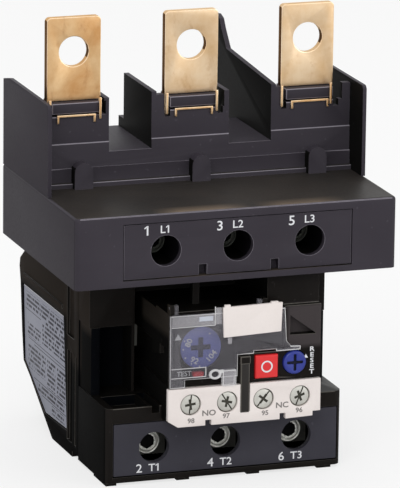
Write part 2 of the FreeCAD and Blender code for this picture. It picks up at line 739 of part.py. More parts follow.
def marker_plate():
    body = new_body("marker_plate")
    pad(body, "XZ", 1.0, 2.2, poly((-4.6, -10.3), (17.8, -9.9), (17.4, -20.6), (-4.2, -21.4)))
    pad(body, "XZ", 1.0, 2.2, box(-4.0, -10.6, -1.8, -9.4), box(13.4, -10.4, 16.2, -9.4))
    return body


def current_dial():
    body = new_body("current_dial")
    x, z = D["dial_x"], D["dial_z"]
    radius = D["dial_dia"] / 2
    pad(body, "XZ", 6.4, 13.2, disc(x, z, radius))
    pad(body, "XZ", 13.2, 20.0, disc(x, z, 2.0))
    cut(body, "XZ", 6.4, 8.2, cross(x, z, 0.9, 3.7))
    return body


def stop_button():
    body = new_body("stop_button")
    x, z = D["stop_x"], D["stop_z"]
    wide, tall = D["stop_w"] / 2, D["stop_h"] / 2
    pad(body, "XZ", 2.6, 10.6, box(x - wide, z - tall, x + wide, z + tall))
    dress(body, "Fillet", 0.8, lambda e: abs(e.CenterOfMass.y - 2.6) < 0.01)
    pad(body, "XZ", 10.6, 24.0, disc(x, z, 1.8))
    return body


def reset_plunger():
    body = new_body("reset_plunger")
    x, z = D["reset_x"], D["reset_z"]
    pad(body, "XZ", 6.2, 9.0, disc(x, z, D["reset_dia"] / 2 - 0.2))
    pad(body, "XZ", 9.0, 24.0, disc(x, z, 1.8))
    pad(body, "XZ", 4.0, 6.2, disc(x, z, 1.4))
    return body


def reset_knob():
    body = new_body("reset_knob")
    x, z = D["reset_x"], D["reset_z"]
    radius = D["reset_dia"] / 2
    pad(body, "XZ", 2.4, 6.1, disc(x, z, radius))
    dress(body, "Chamfer", 0.5, rim_at("y", 2.4, radius))
    cut(body, "XZ", 2.4, 3.3, cross(x, z, 0.5, 3.0))
    cut(body, "XZ", 3.7, 6.1, disc(x, z, 1.46))
    return body


def test_slider():
    body = new_body("test_slider")
    pad(body, "XZ", 4.6, 7.4, box(-14.2, -36.1, -10.4, -34.4))
    return body


def coil(name, x, z, start, length, turns):
    """A compression spring along Y, its square wire led round in straight chords."""
    chords = 12
    radius = 2.5
    wire = 0.3
    spots = []
    for i in range(int(turns * chords) + 1):
        angle = math.radians(360.0 / chords * i)
        spots.append(FreeCAD.Vector(radius * math.cos(angle), length * i / (turns * chords),
                                    radius * math.sin(angle)))
    path = Part.makePolygon(spots)
    corners = [(radius - wire, -wire), (radius + wire, -wire), (radius + wire, wire),
               (radius - wire, wire), (radius - wire, -wire)]
    profile = Part.makePolygon([FreeCAD.Vector(a, b, 0) for a, b in corners])
    spring = doc.addObject("Part::Feature", name)
    spring.Label = name
    spring.Shape = path.makePipeShell([profile], True, False, 1)
    spring.Placement = FreeCAD.Placement(
        FreeCAD.Vector(num(x), start + D["datum_y"].value, num(z) + D["datum_z"].value),
        FreeCAD.Rotation())
    return spring


def aux_terminal_block():
    """Light front plate of the auxiliary terminals, slotted between its two halves."""
    body = new_body("aux_terminal_block")
    front, top, low = D["aux_front"], D["aux_top"], D["aux_low"]
    back = front + 2.1
    left, right = -24.3, 33.2
    pad(body, "XZ", front, back, poly(
        (left, top), (right, top), (right, -51.5), (30.3, -51.5), (30.3, low + 0.4), (20.0, low),
        (20.0, -51.4), (17.8, -51.4), (17.8, low), (-8.0, low), (-8.0, -51.6), (-10.3, -51.6),
        (-10.3, low), (-20.6, low), (left, -51.2)))
    wells = [disc(D["aux_x"] + D["aux_pitch"] * i, D["aux_z"], 3.9) for i in range(4)]
    cut(body, "XZ", front, back, *wells)
    cut(body, "XZ", front, back, box(2.9, -49.6, 6.4, top))
    return body


def aux_screws():
    """Four terminal screws with a crossed recess."""
    body = new_body("aux_screws")
    spots = [D["aux_x"] + D["aux_pitch"] * i for i in range(4)]
    level = D["aux_z"]
    pad(body, "XZ", 3.4, 6.4, *[disc(x, level, D["aux_screw_dia"] / 2) for x in spots])
    pad(body, "XZ", 6.4, 8.4, *[prism(x, level, 1.7) for x in spots])
    for x in spots:
        cut(body, "XZ", 3.4, 4.8, cross(x, level, 0.5, 2.6))
    return body


def rating_plate():
    body = new_body("rating_plate")
    left = -(D["base_w"] / 2) + 0.3
    pad(body, "YZ", left, left + 0.4, poly((111.2, -26.6), (62.3, -26.4), (57.7, -67.5),
                                           (83.4, -68.4), (108.8, -55.0)))
    return body


parts = [adapter_housing(), side_cheeks(), phase_fins(), tall_barrier(), adapter_cover_plate()]
parts += [lug(k) for k in POLES]
parts += [lug_retainers(), lug_clips()]
parts.append(clamp_screws("upper_clamp_screws", D["upper_clamp_z"], 16.0, 46.2))
parts.append(clamp_cages("upper_clamp_cages", D["upper_clamp_z"], 38.0, 56.6))
parts += [relay_base(), front_housing(), terminal_cover()]
parts.append(clamp_screws("lower_clamp_screws", D["lower_clamp_z"], 19.6, 29.0))
parts.append(clamp_cages("lower_clamp_cages", D["lower_clamp_z"], 25.0, 40.8))
for maker in (load_bar, supply_bar, heater, bimetal):
    parts += [maker(k) for k in POLES]
parts += [transmission_slide(), trip_lever(), mechanism_plate(), contact_bridge(), fixed_contacts()]
parts += [control_housing(), clear_cover(), marker_plate(), current_dial(), stop_button()]
parts += [reset_plunger(), reset_knob(), test_slider(), aux_terminal_block(), aux_screws()]
parts.append(rating_plate())
parts.append(coil("stop_spring", D["stop_x"], D["stop_z"], 11.2, 6.4, 4.0))
parts.append(coil("reset_spring", D["reset_x"], D["reset_z"], 9.6, 6.4, 4.0))

doc.recompute()
for item in doc.Objects:
    if "Invalid" in item.State or "Error" in item.State:
        raise RuntimeError("object failed: " + item.Name)
os.makedirs("parts", exist_ok=True)
for item in parts:
    shape = item.Shape
    if shape.isNull() or not shape.isValid():
        raise RuntimeError("bad shape: " + item.Label)
    shape.exportStep("parts/" + item.Label + ".step")
    bounds = shape.BoundBox
    print(item.Label, len(shape.Solids), "%.1f %.1f %.1f to %.1f %.1f %.1f" % (
        bounds.XMin, bounds.YMin, bounds.ZMin, bounds.XMax, bounds.YMax, bounds.ZMax))
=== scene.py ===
import json
import math

import bpy
from mathutils import Matrix, Vector


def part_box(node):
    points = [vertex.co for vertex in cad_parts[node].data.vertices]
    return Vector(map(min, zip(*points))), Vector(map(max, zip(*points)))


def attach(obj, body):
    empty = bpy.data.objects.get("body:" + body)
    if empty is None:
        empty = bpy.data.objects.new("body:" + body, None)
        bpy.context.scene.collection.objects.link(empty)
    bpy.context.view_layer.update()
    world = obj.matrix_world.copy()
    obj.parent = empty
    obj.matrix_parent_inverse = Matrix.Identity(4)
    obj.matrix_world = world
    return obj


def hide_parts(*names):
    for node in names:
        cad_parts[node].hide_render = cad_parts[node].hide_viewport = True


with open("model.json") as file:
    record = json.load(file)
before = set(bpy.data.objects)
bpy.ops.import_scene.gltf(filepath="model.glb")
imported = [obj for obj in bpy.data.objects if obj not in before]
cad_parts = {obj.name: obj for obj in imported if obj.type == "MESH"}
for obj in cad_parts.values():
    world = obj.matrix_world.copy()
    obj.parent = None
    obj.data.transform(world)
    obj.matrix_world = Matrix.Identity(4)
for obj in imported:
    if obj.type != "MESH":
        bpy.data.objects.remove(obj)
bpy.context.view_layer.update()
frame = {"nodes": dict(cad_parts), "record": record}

mm = 0.001
print("frame loaded, nodes:", len(frame["nodes"]))


class Signal:
    # a shader socket that takes part in plain arithmetic
    def __init__(self, tree, socket):
        self.tree = tree
        self.socket = socket

    def maths(self, operation, left, right):
        node = self.tree.nodes.new("ShaderNodeMath")
        node.operation = operation
        plug(self.tree, node.inputs[0], left)
        plug(self.tree, node.inputs[1], right)
        return Signal(self.tree, node.outputs[0])

    def __add__(self, other):
        return self.maths("ADD", self, other)

    def __radd__(self, other):
        return self.maths("ADD", other, self)

    def __sub__(self, other):
        return self.maths("SUBTRACT", self, other)

    def __rsub__(self, other):
        return self.maths("SUBTRACT", other, self)

    def __mul__(self, other):
        return self.maths("MULTIPLY", self, other)

    def __rmul__(self, other):
        return self.maths("MULTIPLY", other, self)

    def __gt__(self, other):
        return self.maths("GREATER_THAN", self, other)

    def __lt__(self, other):
        return self.maths("LESS_THAN", self, other)

    def floor(self):
        return self.maths("FLOOR", self, 0.0)

    def fraction(self):
        return self.maths("FRACT", self, 0.0)

    def clipped(self):
        node = self.tree.nodes.new("ShaderNodeClamp")
        plug(self.tree, node.inputs[0], self)
        return Signal(self.tree, node.outputs[0])


def plug(tree, socket, item):
    if isinstance(item, Signal):
        tree.links.new(item.socket, socket)
    elif isinstance(item, (tuple, list)) and len(item) == 3 and socket.type == "RGBA":
        socket.default_value = (*item, 1.0)
    else:
        socket.default_value = item


class Finish:
    # one material and the nodes that make it
    def __init__(self, name, **fixed):
        self.material = bpy.data.materials.new(name)
        self.material.use_nodes = True
        self.tree = self.material.node_tree
        self.shader = self.tree.nodes["Principled BSDF"]
        for socket, value in fixed.items():
            plug(self.tree, self.shader.inputs[socket.replace("_", " ")], value)
        self.place = self.add("ShaderNodeTexCoord", {}, {}, "Object")

    def add(self, kind, settings, sockets, output=0):
        node = self.tree.nodes.new(kind)
        for name, value in settings.items():
            setattr(node, name, value)
        for name, value in sockets.items():
            plug(self.tree, node.inputs[name], value)
        return Signal(self.tree, node.outputs[output])

    def stretched(self, x, y, z):
        return self.add("ShaderNodeMapping", {}, {"Vector": self.place, "Scale": (x, y, z)})

    def axes(self):
        # the three parts of the place, in metres
        node = self.tree.nodes.new("ShaderNodeSeparateXYZ")
        plug(self.tree, node.inputs[0], self.place)
        return [Signal(self.tree, out) for out in node.outputs]

    def point(self, x, y, z):
        return self.add("ShaderNodeCombineXYZ", {}, {"X": x, "Y": y, "Z": z})

    def noise(self, scale, detail=2.0, roughness=0.5, distortion=0.0, place=None):
        return self.add("ShaderNodeTexNoise", {}, {
            "Vector": place or self.place, "Scale": scale, "Detail": detail,
            "Roughness": roughness, "Distortion": distortion}, "Fac")

    def cells(self, scale, place=None):
        return self.add("ShaderNodeTexVoronoi", {}, {
            "Vector": place or self.place, "Scale": scale}, "Distance")

    def mask(self, factor, low, high):
        return self.add("ShaderNodeMapRange", {}, {
            "Value": factor, "From Min": low, "From Max": high}, "Result")

    def inside(self, low, high, soft):
        # 1 within a box given in mm, fading over its margin
        result = 1.0
        for axis, bottom, top in zip(self.axes(), low, high):
            rising = self.mask(axis, (bottom - soft) * mm, (bottom + soft) * mm)
            falling = self.mask(axis, (top + soft) * mm, (top - soft) * mm)
            result = rising * falling * result
        return result

    def blend(self, factor, first, second):
        node = self.tree.nodes.new("ShaderNodeMix")
        node.data_type = "RGBA"
        plug(self.tree, node.inputs[0], factor)
        plug(self.tree, node.inputs[6], first)
        plug(self.tree, node.inputs[7], second)
        return Signal(self.tree, node.outputs[2])

    def bumped(self, height, strength, distance):
        return self.add("ShaderNodeBump", {}, {
            "Height": height, "Strength": strength, "Distance": distance}, "Normal")

    def wear(self, **sockets):
        for socket, value in sockets.items():
            plug(self.tree, self.shader.inputs[socket.replace("_", " ")], value)
        return self.material


def linear(r, g, b):
    # screen colour to the scene's own colour
    return tuple((c / 255 / 12.92) if c <= 10 else ((c / 255 + 0.055) / 1.055) ** 2.4
                 for c in (r, g, b))


plasticLook = {
    "grainScale": 1500.0,      # spark-eroded grain, per metre
    "cloudScale": 30.0,        # slow drift of the pigment
    "dustScale": 520.0,
    "dustLevel": 0.735,        # higher leaves fewer specks
    "grainDepth": 0.00003,
}


def mouldedPlastic(name, tone, lighter, roughness, specular=0.14, dust=0.25, grain=0.35,
                   paintedLightPatches=()):
    # a patch is a box painted in a tone of its own, as painted light on the part: low and high
    # corners and margin in mm
    look = plasticLook
    finish = Finish(name, Specular_IOR_Level=specular)
    cloud = finish.noise(look["cloudScale"], 4.0, 0.6)
    flow = finish.noise(9.0, 3.0, 0.55, 1.5, finish.stretched(1.0, 1.0, 4.0))
    grains = finish.noise(look["grainScale"], 2.0, 0.6)
    pits = finish.cells(look["grainScale"] * 0.7)
    level = look["dustLevel"]
    specks = finish.mask(finish.noise(look["dustScale"], 1.0, 0.4), level, level + 0.05)
    base = finish.blend(finish.mask(cloud * 0.6 + flow * 0.4, 0.35, 0.65), tone, lighter)
    for low, high, margin, own in paintedLightPatches:
        base = finish.blend(finish.inside(low, high, margin), base, own)
    dusty = tuple(min(1.0, c * 2.2 + 0.03) for c in lighter)
    colour = finish.blend(specks * dust, base, dusty)
    colour = finish.blend(grains * 0.12, colour, tuple(c * 0.6 for c in tone))
    return finish.wear(
        Base_Color=colour,
        Roughness=(roughness + cloud * 0.12 - 0.06 + specks * 0.15 + pits * 0.05).clipped(),
        Normal=finish.bumped(grains + pits * 0.5, grain, look["grainDepth"]))


def lugMetal(name, light, warm, stain, roughness=0.3):
    finish = Finish(name, Specular_Tint=linear(250, 232, 205))
    drawn = finish.noise(700.0, 3.0, 0.6, 0.2, finish.stretched(1.0, 1.0, 0.05))
    cloud = finish.mask(finish.noise(80.0, 5.0, 0.6, 0.2), 0.36, 0.68)
    spots = finish.noise(230.0, 4.0, 0.7, 0.3, finish.stretched(1.0, 1.0, 0.5))
    drops = finish.mask(spots, 0.56, 0.72)
    colour = finish.blend(cloud, light, warm)
    colour = finish.blend(drawn * 0.25, colour, warm)
    colour = finish.blend(drops * 0.4, colour, stain)
    return finish.wear(
        Base_Color=colour, Metallic=(1.0 - drops * 0.2),
        Roughness=(roughness + drawn * 0.12 + cloud * 0.1).clipped(),
        Normal=finish.bumped(drawn + drops * 0.4, 0.15, 0.00003))


def platedSteel(name, tone, roughness=0.3):
    finish = Finish(name)
    scuff = finish.noise(420.0, 5.0, 0.7, 0.6)
    dull = finish.mask(finish.noise(150.0, 3.0, 0.6), 0.42, 0.7)
    colour = finish.blend(dull * 0.5, tone, tuple(c * 0.55 for c in tone))
    return finish.wear(
        Base_Color=colour, Metallic=(1.0 - dull * 0.1),
        Roughness=(roughness + scuff * 0.2 + dull * 0.15).clipped(),
        Normal=finish.bumped(scuff, 0.3, 0.00004))


def clearPlastic(name, tint, body, gloss=0.3):
    # body is how much of the surface's own colour shows
    finish = Finish(name, Specular_IOR_Level=gloss, IOR=1.49)
    haze = finish.noise(60.0, 3.0, 0.6)
    scuff = finish.mask(finish.noise(900.0, 3.0, 0.6, 1.0), 0.62, 0.8)
    # painted sheen: the clear plastic's colour is paler towards +x
    across = finish.mask(haze * 10 * mm + finish.axes()[0], -20 * mm, 24 * mm)
    return finish.wear(
        Base_Color=finish.blend(across, tint, tuple(min(1.0, c * 1.7) for c in tint)),
        Alpha=(body + haze * 0.04).clipped(),
        Roughness=(0.12 + scuff * 0.04).clipped(),
        Normal=finish.bumped(finish.noise(45.0, 2.0), 0.05, 0.0001))


def printInk(name, tone, broken=0.12):
    finish = Finish(name, Specular_IOR_Level=0.3)
    thin = finish.mask(finish.noise(1700.0, 3.0, 0.7), 0.55, 0.75)
    return finish.wear(
        Base_Color=finish.blend(thin * broken, tone, tuple(c * 0.4 for c in tone)),
        Roughness=(0.5 + thin * 0.2).clipped(),
        Normal=finish.bumped(thin, 0.1, 0.00002))


labelRuling = {
    "rowPitch": 1.7 * mm, "rowFill": 0.56, "wordScale": 640.0, "lineWidth": 0.3 * mm,
    # front, back, low and high end of each area of printed rows, in mm
    "areas": ((3, 50, 42.5, 47.8), (1.5, 30, 32.6, 41.8), (32, 48, 31.4, 36.4),
              (2, 12, 17.6, 28.6), (14, 24, 17.6, 28.6), (26, 47, 19.4, 28.6), (3, 36, 13.2, 16.4),
              (3, 18, 9.0, 12.2)),
    # front and back end and height of each ruled line, in mm
    "lines": ((32, 51, 41.0), (1, 47, 30.6), (1, 40, 29.4), (1, 40, 16.9), (1, 30, 12.7)),
}


def paperLabel(name):
    finish = Finish(name, Specular_IOR_Level=0.1)
    look = labelRuling
    fibre = finish.noise(900.0, 4.0, 0.7)
    tone = finish.blend(finish.noise(40.0, 2.0), linear(134, 136, 148), linear(154, 156, 167))
    tone = finish.blend(fibre * 0.15, tone, linear(120, 121, 132))
    along, up = finish.axes()[1:]
    row = up * (1.0 / look["rowPitch"])
    words = finish.noise(1.0, 1.0, 0.5, 0.0, finish.point(
        along * look["wordScale"], row.floor() * 7.3, 0.0))
    rows = (row.fraction() < look["rowFill"]) * (words > 0.44)
    printed = None
    for front, back, low, high in look["areas"]:
        area = (along > front * mm) * (along < back * mm) * (up > low * mm) * (up < high * mm)
        printed = area if printed is None else printed + area
    printed = printed * rows
    for front, back, level in look["lines"]:
        near = (up > level * mm) * (up < level * mm + look["lineWidth"])
        printed = printed + (along > front * mm) * (along < back * mm) * near
    return finish.wear(
        Base_Color=finish.blend(printed.clipped() * 0.9, tone, linear(34, 32, 40)),
        Roughness=(0.42 + fibre * 0.15).clipped(),
        Normal=finish.bumped(fibre, 0.12, 0.00002))


# places painted paler than the moulding, as painted light: low corner, high corner, margin in mm,
# and tone
# painted reflection of the lugs, warm and pale, on the top of the ledge
ledgeReflectionPatches = (((-26, -80, 80), (0, -55, 120), 5.0, linear(124, 108, 92)),
                ((12, -80, 80), (36, -55, 120), 5.0, linear(112, 98, 84)))
# painted reflection: a paler patch on the front of the case's right column
columnReflectionPatches = (((20.5, -60, 48.5), (40, -50, 64), 1.0, linear(64, 59, 60)),)
# painted light: paler patches on the shaded left sides of the case, where light gets past the
# adapter
sideLightPatches = (((-60, -60, 51), (-40, 60, 80), 1.5, linear(44, 39, 35)),
               ((-60, -16, 35), (-40, -1, 56), 1.5, linear(38, 34, 31)),
               ((-30, -60, 56), (-20, -24, 80), 1.5, linear(44, 40, 36)))

finishes = {
    "adapter": mouldedPlastic("adapterPlastic", linear(49, 45, 52), linear(56, 52, 59), 0.5),
    # painted shade: a near-black copy of the adapter plastic on left-facing faces inside the bays
    "adapterInnerShade": mouldedPlastic("adapterInnerShade", linear(14, 14, 13), linear(20, 19, 19), 0.5,
                                  0.02),
    # painted shade and reflection: a darker copy of the adapter plastic on faces that look up,
    # with paler patches on the ledge
    "adapterTopShadeAndReflection": mouldedPlastic("adapterTopShadeAndReflection", linear(36, 34, 33), linear(50, 46, 43), 0.42, 0.12,
                                 paintedLightPatches=ledgeReflectionPatches),
    # painted shade: a darker copy of the adapter plastic on its outer left side
    "adapterSideShade": mouldedPlastic("adapterSideShade", linear(45, 41, 47), linear(51, 47, 53), 0.5,
                                  0.05),
    # painted shade: a near-black bluish copy on the front-facing faces deep in the pocket under
    # the adapter
    "compartment": mouldedPlastic("compartmentShade", linear(3, 4, 7), linear(5, 7, 11), 0.3,
                                  0.02),
    # painted highlight: a pale copy of the adapter plastic on its rounded edges
    "adapterEdgeHighlight": mouldedPlastic("adapterEdgeHighlight", linear(118, 114, 122), linear(136, 131, 140),
                                  0.34, 0.3),
    "case": mouldedPlastic("casePlastic", linear(22, 20, 19), linear(31, 28, 26), 0.42, 0.04,
                           paintedLightPatches=columnReflectionPatches),
    # painted shade: a darker copy of the case plastic on left-facing faces, with patches of
    # painted light
    "caseSideShadeAndLight": mouldedPlastic("caseSideShadeAndLight", linear(12, 12, 12), linear(18, 17, 16), 0.5, 0.004,
                               paintedLightPatches=sideLightPatches),
    # painted shade: a darker, glossier copy of the case plastic on faces that look up
    "caseTopShade": mouldedPlastic("caseTopShade", linear(12, 11, 10), linear(20, 18, 16), 0.28, 0.14),
    # painted highlight: a pale copy of the case plastic on its rounded edges
    "caseEdgeHighlight": mouldedPlastic("caseEdgeHighlight", linear(66, 63, 58), linear(84, 80, 74), 0.26, 0.3),
    "panel": mouldedPlastic("panelPlastic", linear(50, 49, 56), linear(58, 57, 65), 0.44),
    "cream": mouldedPlastic("creamPlastic", linear(222, 213, 209), linear(234, 226, 222), 0.45,
                            0.4, 0.0, 0.2),
    "dialBlue": mouldedPlastic("dialPlastic", linear(94, 104, 182), linear(110, 118, 196), 0.4,
                               0.4, 0.1),
    "knobBlue": mouldedPlastic("knobPlastic", linear(30, 44, 128), linear(42, 58, 150), 0.32,
                               0.45, 0.1),
    "knobShade": mouldedPlastic("knobRecessShade", linear(10, 12, 34), linear(14, 18, 46), 0.5, 0.2,
                                0.0),
    "dialShade": mouldedPlastic("dialRecessShade", linear(36, 40, 76), linear(44, 50, 88), 0.5, 0.2,
                                0.0),
    "signalRed": mouldedPlastic("stopPlastic", linear(206, 30, 34), linear(222, 42, 44), 0.34,
                                0.45, 0.0, 0.15),
    "natural": mouldedPlastic("slidePlastic", linear(196, 190, 170), linear(208, 202, 184), 0.5),
    "lug": lugMetal("lugMetal", linear(222, 190, 146), linear(198, 150, 98),
                    linear(160, 104, 56)),
    "lugPale": lugMetal("lugPale", linear(224, 200, 168), linear(206, 172, 130),
                        linear(170, 120, 72)),
    # painted highlight: a bright copy of the lug metal on its rounded edges
    "lugEdgeHighlight": lugMetal("lugEdgeHighlight", linear(250, 232, 206), linear(226, 190, 144),
                        linear(150, 100, 60), 0.2),
    # painted shade: a dark brown copy of the lug metal on the lugs' left-facing sides
    "lugSideShade": lugMetal("lugShadedSide", linear(96, 62, 38), linear(74, 46, 28), linear(50, 30, 18), 0.4),
    "zinc": platedSteel("zincSteel", linear(186, 190, 182)),
    "pinHead": platedSteel("screwZinc", linear(206, 205, 198), 0.26),
    "screwGrey": platedSteel("clampSteel", linear(212, 212, 206), 0.24),
    # painted shade: a darker copy of the clamp steel for the upper screws, deep in their holes
    "screwShaded": platedSteel("clampSteelShaded", linear(96, 98, 92), 0.34),
    "cage": platedSteel("cageSteel", linear(150, 150, 144), 0.4),
    "dark": platedSteel("heaterAlloy", linear(120, 112, 104), 0.42),
    "rib": mouldedPlastic("ribPlastic", linear(34, 31, 30), linear(42, 39, 37), 0.4, 0.2),
    "shade": mouldedPlastic("deepShade", linear(5, 5, 6), linear(8, 8, 9), 0.7, 0.1, 0.0),
    "clear": clearPlastic("coverClear", linear(130, 128, 134), 0.24),
    # painted highlight: a pale, less clear copy of the cover plastic on its edges, ridges and
    # eyelet
    "clearEdgeHighlight": clearPlastic("coverClearEdgeHighlight", linear(206, 204, 206), 0.62, 0.5),
    "clearLug": clearPlastic("coverClearLug", linear(190, 188, 192), 0.26, 0.4),
    # painted shade: dark colour of the slot and cross cut into the auxiliary screw heads
    "recessShade": mouldedPlastic("screwRecessShade", linear(48, 47, 40), linear(66, 64, 56), 0.5, 0.2, 0.0),
    "white": printInk("whiteInk", linear(216, 217, 220)),
    "faint": printInk("faintInk", linear(184, 188, 198)),
    "grey": printInk("greyInk", linear(122, 118, 116)),
    "label": paperLabel("labelCard"),
}
print("finishes made:", len(finishes))


def onlySelect(piece):
    bpy.ops.object.select_all(action="DESELECT")
    piece.select_set(True)
    bpy.context.view_layer.objects.active = piece


def editing(piece, mode="FACE"):
    onlySelect(piece)
    bpy.ops.object.mode_set(mode="EDIT")
    bpy.ops.mesh.select_mode(type=mode)


def doneEditing():
    bpy.ops.object.mode_set(mode="OBJECT")


def deselectMesh(piece, mode="FACE"):
    editing(piece, mode)
    bpy.ops.mesh.select_all(action="DESELECT")
    doneEditing()


def applyModifiers(piece):
    onlySelect(piece)
    for modifier in list(piece.modifiers):
        bpy.ops.object.modifier_apply(modifier=modifier.name)


def cleaned(piece):
    # joined points and flat faces in place of loose triangles
    editing(piece)
    bpy.ops.mesh.select_all(action="SELECT")
    bpy.ops.mesh.remove_doubles(threshold=0.002 * mm)
    bpy.ops.mesh.dissolve_limited(angle_limit=math.radians(0.6))
    doneEditing()
    return piece


def copyOfNode(node, name):
    source = frame["nodes"][node]
    piece = source.copy()
    piece.data = source.data.copy()
    piece.name = name
    piece.parent = None
    bpy.context.scene.collection.objects.link(piece)
    piece.hide_render = False
    piece.matrix_world = Matrix.Identity(4)
    return cleaned(piece)


def fuse(first, others):
    # one moulding from solids that stand on each other
    for other in others:
        union = first.modifiers.new("union", "BOOLEAN")
        union.operation = "UNION"
        union.solver = "EXACT"
        union.object = other
    applyModifiers(first)
    for other in others:
        bpy.data.objects.remove(other)
    return cleaned(first)


def longFrontEdges(mesh, lowest, shortest):
    # outer edges that run level across the front, between a front face and one that looks up
    facesAt = {}
    for face in mesh.polygons:
        for pair in face.edge_keys:
            facesAt.setdefault(pair, []).append(face)
    found = []
    for edge in mesh.edges:
        sides = facesAt.get(edge.key, [])
        ends = [mesh.vertices[v].co for v in edge.vertices]
        run = ends[1] - ends[0]
        if len(sides) != 2 or abs(run.x) < shortest or abs(run.x) < 0.98 * run.length:
            continue
        front, other = sorted(sides, key=lambda face: face.normal.y)
        middle = (ends[0] + ends[1]) / 2
        outward = (other.center - middle).dot(front.normal) < -0.01 * mm
        if outward and front.normal.y < -0.7 and other.normal.z > 0.7 and middle.z > lowest:
            found.append(edge.index)
    return found


def widenFrontEdges(piece, width, lowest, shortest=4 * mm):
    # these edges get a wider rounding than the small ones, and so a wider band of painted
    # highlight
    wide = longFrontEdges(piece.data, lowest, shortest)
    deselectMesh(piece, "EDGE")
    for index in wide:
        piece.data.edges[index].select = True
    editing(piece, "EDGE")
    bpy.ops.mesh.bevel(offset=width, segments=2, affect="EDGES", clamp_overlap=False, material=1)
    bpy.ops.mesh.select_all(action="DESELECT")
    doneEditing()
    print("front edges of", piece.name, "made wider:", len(wide))


def roundEdges(piece, width, finish, rim=None, frontEdge=None):
    # rim is the finish of the narrow rounded faces alone; the pale edge finishes there are painted
    # highlights
    piece.data.materials.clear()
    for name in (finish, rim or finish):
        piece.data.materials.append(finishes[name])
    if frontEdge:
        widenFrontEdges(piece, frontEdge[0] * mm, frontEdge[1] * mm)
    bevel = piece.modifiers.new("edges", "BEVEL")
    bevel.material = 1
    bevel.width = width
    bevel.segments = 2
    bevel.limit_method = "ANGLE"
    bevel.angle_limit = math.radians(32)
    bevel.harden_normals = False
    applyModifiers(piece)
    onlySelect(piece)
    bpy.ops.object.shade_smooth_by_angle(angle=math.radians(30))
    return piece


def dressed(piece, finish, body, slot, *nodes):
    if finish:
        piece.data.materials.clear()
        piece.data.materials.append(finishes[finish])
    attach(piece, body)
    if nodes:
        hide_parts(*nodes)
    return piece


def columns(node, width):
    # the three middles of a node that is repeated along X
    low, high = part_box(node)
    first = low[0] + width / 2
    last = high[0] - width / 2
    return [first, (first + last) / 2, last]


slots = {s["node"]: s["material_slot"] for s in frame["record"]["subparts"]}
bodyOf = {n: b for b, ns in frame["record"]["behaviour"]["bodies"].items() for n in ns}

# every node that stays gets its finish; nodes that are replaced below have one of their own
slotFinish = {
    "adapter": "adapter", "relay_case": "case", "grey_panel": "panel", "bar_metal": "lug",
    "screw_steel": "zinc", "cage_steel": "cage", "heater_alloy": "dark", "bimetal_alloy": "cage",
    "slide_plastic": "natural", "clear_plastic": "clear", "white_plastic": "cream",
    "dial_blue": "dialBlue", "reset_blue": "knobBlue", "stop_red": "signalRed",
    "label_card": "label",
}
for node, holder in frame["nodes"].items():
    holder.data.materials.clear()
    holder.data.materials.append(finishes[slotFinish[slots[node]]])

# edge radius in mm and finish of the rounded edge, for each moulded or stamped node; the pale edge
# finishes are painted highlights
edgeWidths = {
    "adapter_housing": (0.4, "adapterEdgeHighlight"),
    "adapter_cover_plate": (0.18, "adapterEdgeHighlight"), "lug_left": (0.45, "lugEdgeHighlight"),
    "lug_middle": (0.45, "lugEdgeHighlight"), "lug_right": (0.45, "lugEdgeHighlight"),
    "lug_retainers": (0.3, "adapterEdgeHighlight"), "lug_clips": (0.2, "lugEdgeHighlight"),
    "relay_base": (0.35, "caseEdgeHighlight"), "front_housing": (0.3, "caseEdgeHighlight"),
    "terminal_cover": (0.18, None), "control_housing": (0.25, "caseEdgeHighlight"),
    "clear_cover": (0.22, "clearEdgeHighlight"), "marker_plate": (0.2, None), "current_dial": (0.2, None),
    "stop_button": (0.25, None), "reset_knob": (0.25, None), "aux_terminal_block": (0.25, None),
    "upper_clamp_screws": (0.2, None), "lower_clamp_screws": (0.2, None),
    "aux_screws": (0.1, None),
    "test_slider": (0.15, None), "rating_plate": (0.15, "white"),
}

# width of the rounded level edges at the front in mm, and the height above which they are
frontEdges = {
    "adapter_housing": (0.35, 100), "front_housing": (0.3, 20), "control_housing": (0.3, 20),
}


def adapterMoulding():
    main = copyOfNode("adapter_housing", "adapter_moulding")
    walls = [copyOfNode(n, n + "_walls") for n in ("side_cheeks", "phase_fins", "tall_barrier")]
    fuse(main, walls)
    width, rim = edgeWidths["adapter_housing"]
    roundEdges(main, width * mm, "adapter", rim, frontEdges["adapter_housing"])
    return dressed(main, None, "relay", "adapter",
                   "adapter_housing", "side_cheeks", "phase_fins", "tall_barrier")


# nodes whose own finish differs from that of their material slot
ownFinish = {
    "lug_middle": "lugPale", "lug_right": "lugPale", "test_slider": "signalRed",
    # the upper clamp screws' darker steel is painted shade
    "upper_clamp_screws": "screwShaded", "lower_clamp_screws": "screwGrey",
}


def edgedNodes():
    made = {}
    for node, (width, rim) in edgeWidths.items():
        if node == "adapter_housing":
            continue
        plain = ownFinish.get(node, slotFinish[slots[node]])
        piece = copyOfNode(node, node + "_edged")
        roundEdges(piece, width * mm, plain, rim, frontEdges.get(node))
        made[node] = dressed(piece, None, bodyOf[node], slots[node], node)
    return made


def faced(piece, finish, direction, wanted=lambda centre: True):
    # faces that look in one direction take another finish, a copy with light and shade painted in
    piece.data.materials.append(finishes[finish])
    place = len(piece.data.materials) - 1
    for face in piece.data.polygons:
        if face.normal.dot(Vector(direction)) > 0.9 and wanted(face.center):
            face.material_index = place


